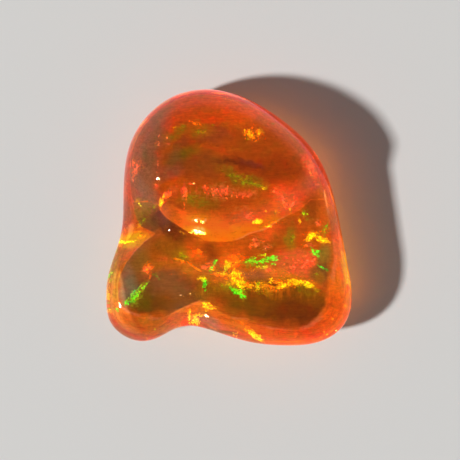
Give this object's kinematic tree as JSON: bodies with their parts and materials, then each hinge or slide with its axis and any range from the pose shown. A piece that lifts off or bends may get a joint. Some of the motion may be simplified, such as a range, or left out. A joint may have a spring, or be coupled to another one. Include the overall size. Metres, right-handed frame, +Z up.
{
  "type": "fire opal stone",
  "caption": "Polished free-form fire opal with a rounded upper face, a lobe at one corner, two soft notches in its outline and a flat underside to rest on.",
  "frame": {"origin": "middle of the stone's box seen from above, on the plane the flat underside rests on", "axes": "+Z up out of the resting plane, +Y along the stone's length towards the rounded end, +X to the right as the picture shows it"},
  "size_m": [0.0154, 0.016, 0.0059],
  "materials": {
    "fire_opal": "high polish, see-through orange with play of colour"
  },
  "bodies": {
    "root": {"opal": "fire_opal"}
  },
  "joints": []
}
